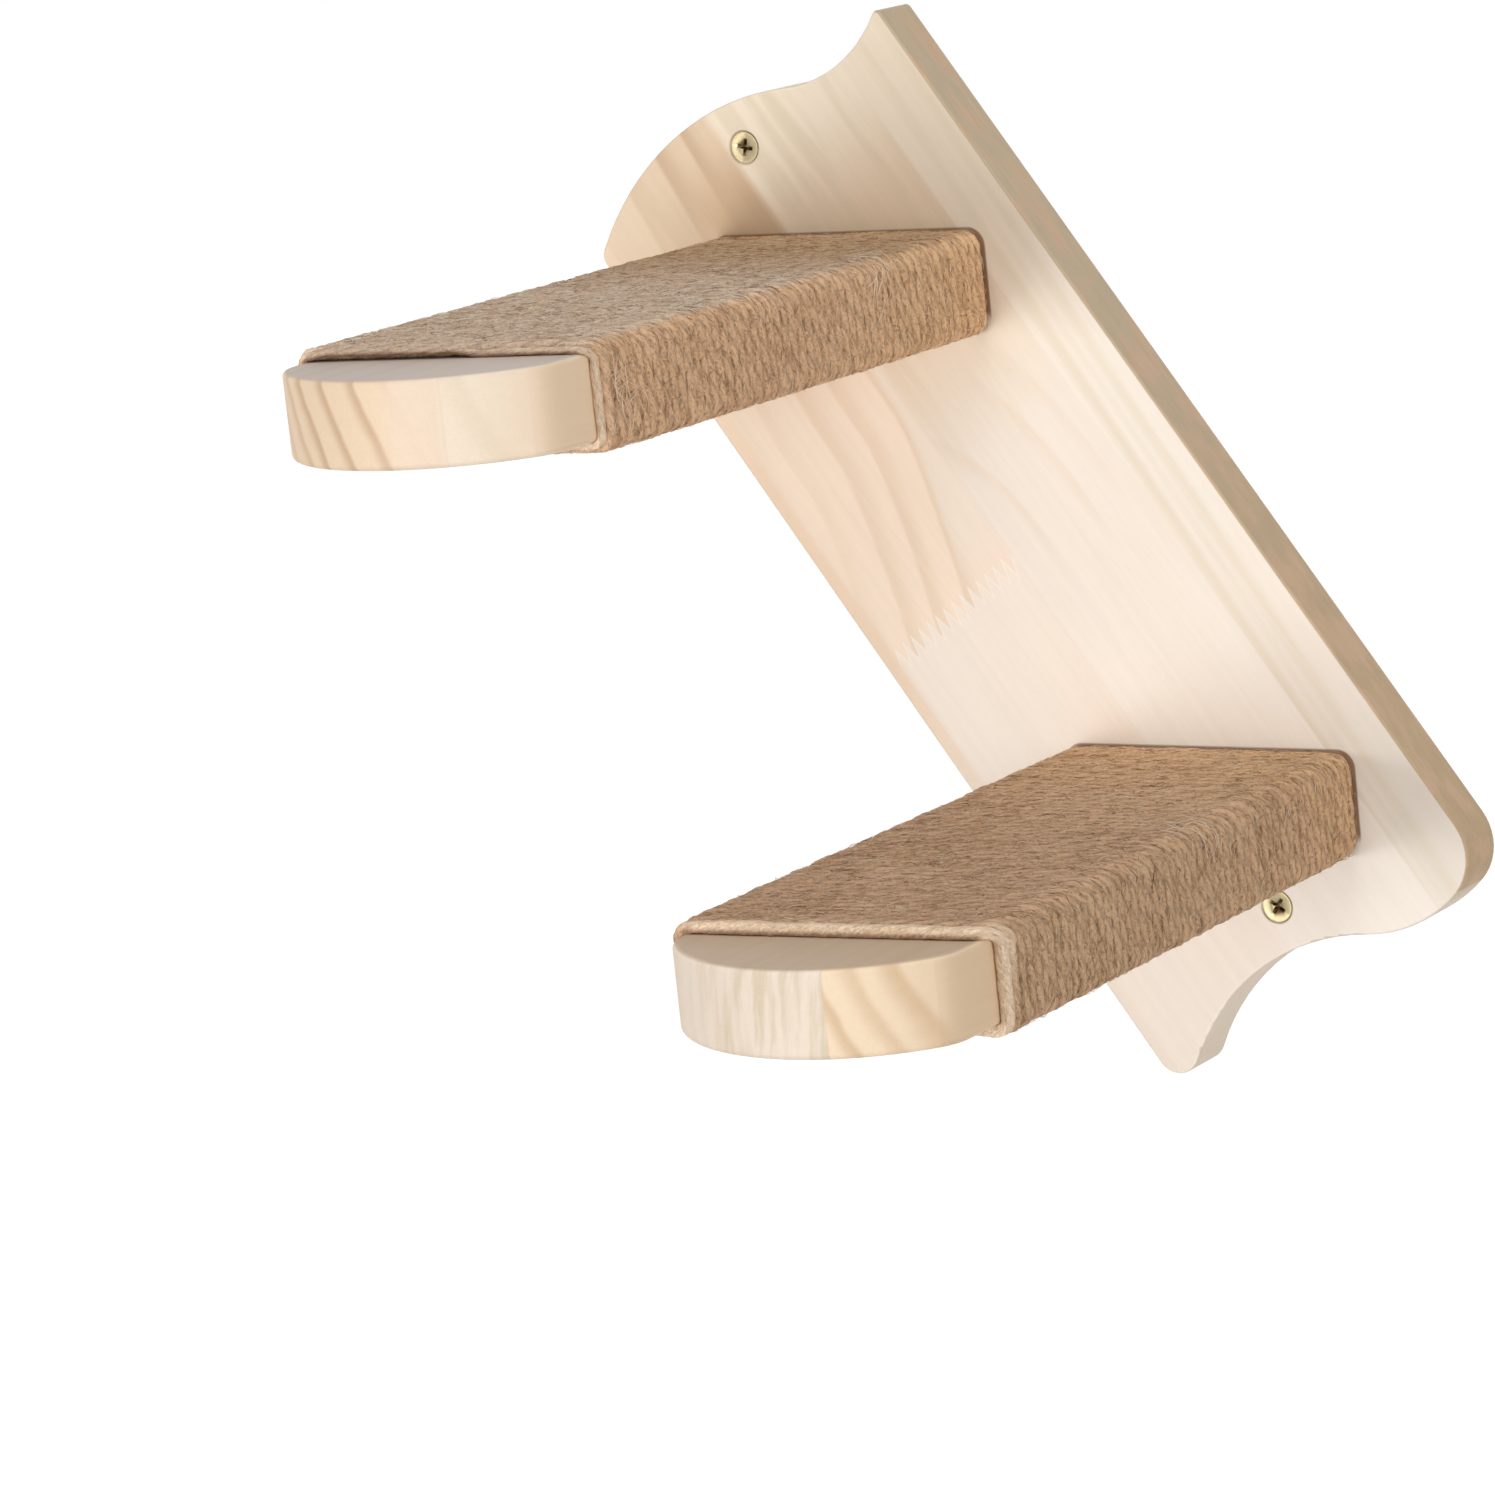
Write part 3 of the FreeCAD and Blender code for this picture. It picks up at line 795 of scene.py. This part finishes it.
def twine_piece(name, node, cord_data, first, last, material):
    """Turns first to last of a cord as one plied mesh, which stands for a solid."""
    start, stop = first * turn_sections, last * turn_sections + 1
    sections = stop - start
    pick = slice(start, stop)
    side = np.arange(twine_sides) * (2 * math.pi / twine_sides)
    lobe = np.abs(np.cos(side * twine_lobes / 2))
    rough = cord_data["rng"].normal(0, ridge_roughness, (sections, twine_sides))
    rough = (np.roll(rough, 1, 0) + rough * 2 + np.roll(rough, -1, 0)) / 4
    rough *= 1 + bend_roughness * cord_data["bend"][pick, None]
    run, outward = cord_data["run"][pick], cord_data["outward"][pick]
    lobe_depth = np.where(run < loop.length, first_lobe_depth, twine_lobe_depth)[:, None]
    reach = cord_data["radius"][pick, None] * (1 - lobe_depth + lobe_depth * lobe) + rough
    angle = side[None, :] + cord_data["twist"][pick, None]
    power = np.where(run < loop.length, first_squareness, twine_squareness)[:, None]
    squared = np.abs(np.cos(angle)) ** power + np.abs(np.sin(angle)) ** power
    reach = reach / squared ** (1 / power)
    points = cord_data["middle"][pick, None, :] + \
        outward[:, None, :] * (reach * np.cos(angle) * twine_flatness)[..., None]
    points[..., 1] += reach * np.sin(angle) * twine_spread * cord_data["stretch"][pick, None]

    row = np.arange(sections - 1)[:, None] * twine_sides
    here, there = np.arange(twine_sides), (np.arange(twine_sides) + 1) % twine_sides
    quads = np.stack([row + here, row + twine_sides + here, row + twine_sides + there, row + there], -1)
    faces = quads.reshape(-1, 4).tolist()
    faces.append(list(range(twine_sides)))
    faces.append(list(range((sections - 1) * twine_sides, sections * twine_sides))[::-1])
    piece = mesh_piece(name, points.reshape(-1, 3), faces, material)
    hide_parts(node)

    lay = np.empty((sections, twine_sides, 3))
    lay[..., 0], lay[..., 1] = np.cos(side), np.sin(side)
    lay[..., 2] = run[:, None] * MM
    point_values(piece, "lay", lay.reshape(-1, 3))
    point_values(piece, "valley", np.tile(lobe, sections))
    point_values(piece, "pale", np.repeat(cord_data["pale"][pick], twine_sides))
    point_values(piece, "bend", np.repeat(cord_data["bend"][pick], twine_sides))
    point_values(piece, "top", np.repeat(soft_step(outward[:, 2], *level_facing), twine_sides))
    # Painted shade on the first turn's inner half, on the level faces
    first_turn = soft_step(loop.length - run, 0, 20)[:, None]
    level = soft_step(outward[:, 2], 0.7, 0.98)[:, None]
    point_values(piece, "seat_shade", (soft_step(-np.cos(angle), -0.1, 0.5) * first_turn * level).ravel())

    # One strip of the bake map per turn, and a last strip for the two cut ends
    strips = last - first + 1
    index = np.arange(sections - 1)
    strip, share = index // turn_sections, (index % turn_sections) / turn_sections
    next_share = share + 1 / turn_sections
    low = (strip[:, None] + 0.03 + 0.94 * here / twine_sides) / strips
    high = (strip[:, None] + 0.03 + 0.94 * (here + 1) / twine_sides) / strips
    share, next_share = (np.repeat(value[:, None], twine_sides, 1) for value in (share, next_share))
    corners = np.stack([np.stack([share, low], -1), np.stack([next_share, low], -1),
                        np.stack([next_share, high], -1), np.stack([share, high], -1)], -2)
    round_cap = np.stack([np.cos(side), np.sin(side)], -1) * 0.4 / strips
    caps = [round_cap + ((0.5 + shift) / strips, (strips - 0.5) / strips) for shift in (0, 1)]
    bake_map(piece, np.concatenate([corners.reshape(-1, 2), *caps]))


def fuzz_piece(tread, name, cord_data, first, last, count, curls, material):
    """Loose fibres on the turns first to last: thin closed strands, most of them lying along the cord."""
    rng, rows = cord_data["rng"], cord_data["rows"]
    knots, sides = fibre_knots, fibre_sides
    total = count + curls["count"]
    share = np.linspace(0, 1, knots)[None, :]
    turn = rng.integers(max(first, 1), last, total)
    run = rng.uniform(0, loop.length, total)
    along_row = rows[turn] + rng.uniform(-2.1, 2.1, total)
    bend = bend_share(loop.at(run)[1])
    length = rng.uniform(*fibre_length, total) * (1 - 0.45 * bend)
    angle = np.radians(rng.normal(6.0, 46.0, total) * (1 + 0.8 * bend))
    bow = rng.normal(0, 1.0, total)
    height = 0.12 + np.minimum(rng.exponential(0.13, total), 0.7)
    free = rng.random(total) < 0.15
    tone = np.clip(rng.normal(0.5, 0.27, total) - 0.15 * bend, 0, 1)
    thickness = rng.uniform(*fibre_thickness, total)
    thickness[count:] = rng.uniform(*curl_thickness, total - count)

    # A few long curled fibres where the photograph shows them
    curl = slice(count, total)
    run[curl] = loop.stations[3] + rng.normal(curls["run"], 6.0, curls["count"])
    along_row[curl] = curls["place"] + rng.normal(0, 5.0, curls["count"])
    length[curl] = rng.uniform(*curl_length, curls["count"])
    bow[curl] = rng.choice([-1, 1], curls["count"]) * rng.uniform(2.0, 5.0, curls["count"])
    height[curl] = rng.uniform(0.6, 1.7, curls["count"])
    tone[curl] = rng.uniform(0.8, 1.0, curls["count"])
    free[curl] = False

    forward = (share - 0.5) * length[:, None] * np.cos(angle)[:, None]
    aside = (share - 0.5) * length[:, None] * np.sin(angle)[:, None]
    aside = aside + bow[:, None] * 4 * share * (1 - share)
    arched = np.sin(math.pi * share) * height[:, None]
    standing = share ** 1.7 * (height + 0.2)[:, None]
    rise = np.where(free[:, None], standing, arched) - fibre_sink
    inner, outward = loop.at(run[:, None] + forward)
    distance = step_edge_rounding + twine_seat + twine_radius * twine_flatness * 2 + rise
    path = inner + outward * distance[..., None]
    place = along_row[:, None] + aside
    skew = loop.skew(run[:, None] + forward, cord_data["skew"])
    place = np.clip(np.abs(place - rows[1]) + rows[1], None, wrap_back - 0.1)
    path[..., 1] += place + skew * wall_share(place)
    path += tread_middles[tread]

    tangent = np.gradient(path, axis=1)
    tangent /= np.linalg.norm(tangent, axis=-1, keepdims=True)
    across = np.cross(tangent, outward)
    across /= np.linalg.norm(across, axis=-1, keepdims=True)
    up = np.cross(across, tangent)
    taper = 0.45 + 0.55 * np.sin(math.pi * (0.12 + 0.76 * share))
    size = thickness[:, None] * taper
    corner = np.radians([90, 210, 330])
    points = path[:, :, None, :] + size[:, :, None, None] * (
        np.cos(corner)[:, None] * across[:, :, None, :] + np.sin(corner)[:, None] * up[:, :, None, :])

    base = np.arange(total)[:, None, None] * knots * sides
    ring = base + np.arange(knots - 1)[None, :, None] * sides
    here, there = np.arange(sides), (np.arange(sides) + 1) % sides
    above = ring + sides
    quads = np.stack([ring + here, ring + there, above + there, above + here], -1).reshape(-1, 4)
    near = base[:, 0, 0][:, None] + np.array([2, 1, 0])
    far = base[:, 0, 0][:, None] + (knots - 1) * sides + np.array([0, 1, 2])
    faces = quads.tolist() + near.tolist() + far.tolist()
    piece = mesh_piece(name, points.reshape(-1, 3), faces, material)
    point_values(piece, "tone", np.repeat(tone, knots * sides))
    point_values(piece, "top", np.repeat(soft_step(outward[..., 2], *level_facing), sides))

    # Each fibre has a small cell of the bake map
    cells = math.ceil(math.sqrt(total))
    cell = np.stack([np.arange(total) % cells, np.arange(total) // cells], -1)
    knot = np.arange(knots - 1)[:, None]
    step = 0.6 / (knots - 1)
    column, line = knot + 0 * here, 0 * knot + here
    quad_u = 0.2 + step * np.stack([column, column, column + 1, column + 1], -1)
    quad_v = 0.2 + 0.2 * np.stack([line, line + 1, line + 1, line], -1)
    local = np.stack([quad_u, quad_v], -1).reshape(-1, 2)
    cap = np.array([[0.3, 0.3], [0.7, 0.3], [0.5, 0.7]])
    quad_corners = (cell[:, None, :] + local[None]) / cells
    cap_corners = (cell[:, None, :] + cap[None]) / cells
    bake_map(piece, np.concatenate([quad_corners.reshape(-1, 2), cap_corners.reshape(-1, 2),
                                    cap_corners.reshape(-1, 2)]))


# Wall screws

def thread_mesh(x, z):
    """The threaded end of one wall screw, from inside the panel to its point."""
    stations = np.arange(thread_start, thread_tip, thread_row)
    side = np.arange(thread_columns) * (2 * math.pi / thread_columns)
    along, angle = np.meshgrid(stations, side, indexing="ij")
    taper = np.clip((thread_tip - along) / (thread_tip - thread_point), 0.03, 1) ** 0.8
    core = np.where(along < 0, shank_radius, thread_core) * taper
    phase = np.abs(np.mod(along / thread_pitch - angle / (2 * math.pi), 1.0) - 0.5)
    tooth = np.clip(1 - phase / thread_flank, 0, 1)
    grown = soft_step(along, 0.0, thread_full)
    reach = core + (thread_crest * taper - core) * tooth * grown
    points = np.stack([x + reach * np.cos(angle), along, z + reach * np.sin(angle)], -1)
    rows = len(stations)
    row = np.arange(rows - 1)[:, None] * thread_columns
    here, there = np.arange(thread_columns), (np.arange(thread_columns) + 1) % thread_columns
    above = row + thread_columns
    quads = np.stack([row + here, row + there, above + there, above + here], -1)
    faces = quads.reshape(-1, 4).tolist()
    faces.append(list(range(thread_columns))[::-1])
    faces.append(list(range((rows - 1) * thread_columns, rows * thread_columns)))
    return points.reshape(-1, 3), faces


def threaded_wall_screws(material):
    """The wall screws' heads and shanks from the solids, with a real thread behind the panel."""
    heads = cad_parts["wall_screws"].data.copy()
    work = bmesh.new()
    work.from_mesh(heads)
    bmesh.ops.remove_doubles(work, verts=work.verts, dist=0.0005 * MM)
    cut = bmesh.ops.bisect_plane(
        work, geom=work.verts[:] + work.edges[:] + work.faces[:], plane_co=(0, shank_cut * MM, 0),
        plane_no=(0, 1, 0), clear_outer=True)
    rim = [item for item in cut["geom_cut"] if isinstance(item, bmesh.types.BMEdge)]
    bmesh.ops.holes_fill(work, edges=rim, sides=0)
    middles = []
    spots = np.array([vertex.co[:] for vertex in work.verts])
    for part in (spots[:, 0] < 0, spots[:, 0] > 0):
        low, high = spots[part].min(0), spots[part].max(0)
        middles.append((low + high) / 2 * PER_METRE)
    for middle in middles:
        points, faces = thread_mesh(middle[0], middle[2])
        made = [work.verts.new(point) for point in points * MM]
        for face in faces:
            work.faces.new([made[index] for index in face])
    bmesh.ops.recalc_face_normals(work, faces=work.faces[:])
    mesh = bpy.data.meshes.new("wall_screws_threaded")
    work.to_mesh(mesh)
    work.free()
    bpy.data.meshes.remove(heads)
    mesh.materials.append(material)
    mesh.polygons.foreach_set("use_smooth", np.ones(len(mesh.polygons), dtype=bool))
    mesh.set_sharp_from_angle(angle=math.radians(35))
    piece = add_object("wall_screws_threaded", mesh)
    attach(piece, "root")
    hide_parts("wall_screws")


# Camera, light and stage

def aim_camera():
    angles = (camera_azimuth, camera_elevation, camera_roll)
    azimuth, elevation, roll = (math.radians(angle) for angle in angles)
    forward = Vector((-math.sin(azimuth) * math.cos(elevation), math.cos(azimuth) * math.cos(elevation),
                      -math.sin(elevation)))
    level = Vector((math.cos(azimuth), math.sin(azimuth), 0))
    right = level * math.cos(roll) + level.cross(forward) * math.sin(roll)
    up = right.cross(forward)
    data = bpy.data.cameras.new("camera")
    data.lens = camera_lens
    data.sensor_width = camera_sensor
    data.clip_start, data.clip_end = camera_reach
    camera = add_object("camera", data)
    turned = Matrix((right, up, -forward)).transposed().to_4x4()
    camera.matrix_world = Matrix.Translation(camera_place) @ turned
    bpy.context.scene.camera = camera


def soft_light(name, place, target, size, level):
    """A square lamp that lights a facing surface at the target to this level."""
    data = bpy.data.lights.new(name, "AREA")
    data.shape = "SQUARE"
    data.size = size
    away = Vector(target) - Vector(place)
    data.energy = level * math.pi ** 2 * away.length_squared
    lamp = add_object(name, data)
    lamp.location = place
    lamp.rotation_mode = "QUATERNION"
    lamp.rotation_quaternion = away.to_track_quat("-Z", "Y")


def seen_rays(tree):
    """One for rays that show the background itself: from the camera, in reflections or through glass."""
    path = tree.nodes.new("ShaderNodeLightPath")
    total = path.outputs["Is Camera Ray"]
    for name in ("Is Glossy Ray", "Is Transmission Ray"):
        made = tree.nodes.new("ShaderNodeMath")
        made.operation = "MAXIMUM"
        tree.links.new(total, made.inputs[0])
        tree.links.new(path.outputs[name], made.inputs[1])
        total = made.outputs[0]
    return total


def white_world(fill):
    """A white surround that lights the object softly from all sides."""
    world = bpy.data.worlds.new("surround")
    world.use_nodes = True
    tree = world.node_tree
    tree.nodes.clear()
    mix = tree.nodes.new("ShaderNodeMixShader")
    output = tree.nodes.new("ShaderNodeOutputWorld")
    tree.links.new(seen_rays(tree), mix.inputs[0])
    for socket, strength in ((mix.inputs[1], fill), (mix.inputs[2], 1.0)):
        white = tree.nodes.new("ShaderNodeBackground")
        white.inputs["Color"].default_value = (1.0, 1.0, 1.0, 1.0)
        white.inputs["Strength"].default_value = strength
        tree.links.new(white.outputs[0], socket)
    tree.links.new(mix.outputs[0], output.inputs["Surface"])
    bpy.context.scene.world = world


def pale_floor(height, half_size):
    """A large floor that shows white and still takes the object's shadow."""
    material = bpy.data.materials.new("pale_floor")
    material.use_nodes = True
    tree = material.node_tree
    tree.nodes.clear()
    plain, faint = (tree.nodes.new("ShaderNodeBsdfDiffuse") for _ in range(2))
    plain.inputs["Color"].default_value = (0.8, 0.8, 0.8, 1.0)
    faint.inputs["Color"].default_value = (0.25, 0.25, 0.25, 1.0)
    glow = tree.nodes.new("ShaderNodeEmission")
    glow.inputs["Strength"].default_value = 0.97
    both = tree.nodes.new("ShaderNodeAddShader")
    mix = tree.nodes.new("ShaderNodeMixShader")
    output = tree.nodes.new("ShaderNodeOutputMaterial")
    tree.links.new(faint.outputs[0], both.inputs[0])
    tree.links.new(glow.outputs[0], both.inputs[1])
    tree.links.new(seen_rays(tree), mix.inputs[0])
    tree.links.new(plain.outputs[0], mix.inputs[1])
    tree.links.new(both.outputs[0], mix.inputs[2])
    tree.links.new(mix.outputs[0], output.inputs["Surface"])
    mesh = bpy.data.meshes.new("floor")
    corners = [(x * half_size, y * half_size, height) for x, y in ((-1, -1), (1, -1), (1, 1), (-1, 1))]
    mesh.from_pydata(corners, [], [(0, 1, 2, 3)])
    mesh.materials.append(material)
    floor = add_object("floor", mesh)


def dress(node, material):
    """Gives a node of the solids its material."""
    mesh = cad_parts[node].data
    mesh.materials.clear()
    mesh.materials.append(material)


# The object

brass = brass_plate()
beech = turned_beech()
dress("back_board", panel_pine())
dress("upper_step_board", upper_tread_pine())
dress("lower_step_board", lower_tread_pine())
for tread in ("upper", "lower"):
    dress(tread + "_step_screws", brass)
    dress(tread + "_step_dowels", beech)
    for part in ("_twine_turns", "_twine_sleeve"):
        dress(tread + part, beech)
dress("wall_screws", brass)
threaded_wall_screws(brass)

# Per tread: the twine's own tint, then painted shading tints for near the panel (wall), the level side
# (top) and the level side near the panel (top_wall)
windings = {
    "upper": {"first": 2.4, "seed": 11, "skew": (2.6, -2.5, -8.0, -8.0),
              "tint": (0.985, 0.955, 0.935, 1.0), "wall": (1.03, 1.03, 0.95, 1.0),
              "top": (1.02, 1.2, 1.46, 1.0), "top_wall": (0.76, 0.76, 0.75, 1.0),
              "curls": ((-84.0, 2.0), (-234.0, -12.0))},
    "lower": {"first": 4.0, "seed": 23, "skew": (2.6, -5.0, -12.4, -12.4),
              "tint": (0.8, 0.78, 0.755, 1.0), "wall": (1.04, 1.0, 0.94, 1.0),
              "top": (1.04, 1.04, 1.1, 1.0), "top_wall": (1.1, 1.13, 1.14, 1.0),
              "curls": ((-120.0, 6.0),)},
}
for tread, plan in windings.items():
    material = jute("jute_" + tread, plan["tint"], plan["wall"], plan["top"], plan["top_wall"])
    fuzz = jute_fuzz("jute_fuzz_" + tread, plan["tint"], plan["top"], plan["top_wall"])
    data = cord(tread, plan["first"], plan["skew"], plan["seed"])
    twine_piece(tread + "_twine_front", tread + "_twine_turns", data, 0, front_turns, material)
    twine_piece(tread + "_twine_back", tread + "_twine_sleeve", data, front_turns, turn_count, material)
    halves = (("front", 0, front_turns, front_fibres), ("back", front_turns, turn_count, back_fibres))
    for half, first, last, count in halves:
        spots = [spot for spot in plan["curls"] if data["rows"][first] <= spot[0] < data["rows"][last]]
        place, curl_run = spots[0] if spots else (0.0, 0.0)
        curls = {"count": len(spots) * curl_fibres, "place": place, "run": curl_run}
        fuzz_piece(tread, tread + "_twine_fuzz_" + half, data, first, last, count, curls, fuzz)

aim_camera()
white_world(world_level)
pale_floor(floor_height, floor_half_size)
for lamp_name, settings in lamps.items():
    soft_light(lamp_name, *settings)

bpy.context.scene.view_settings.view_transform = "Standard"
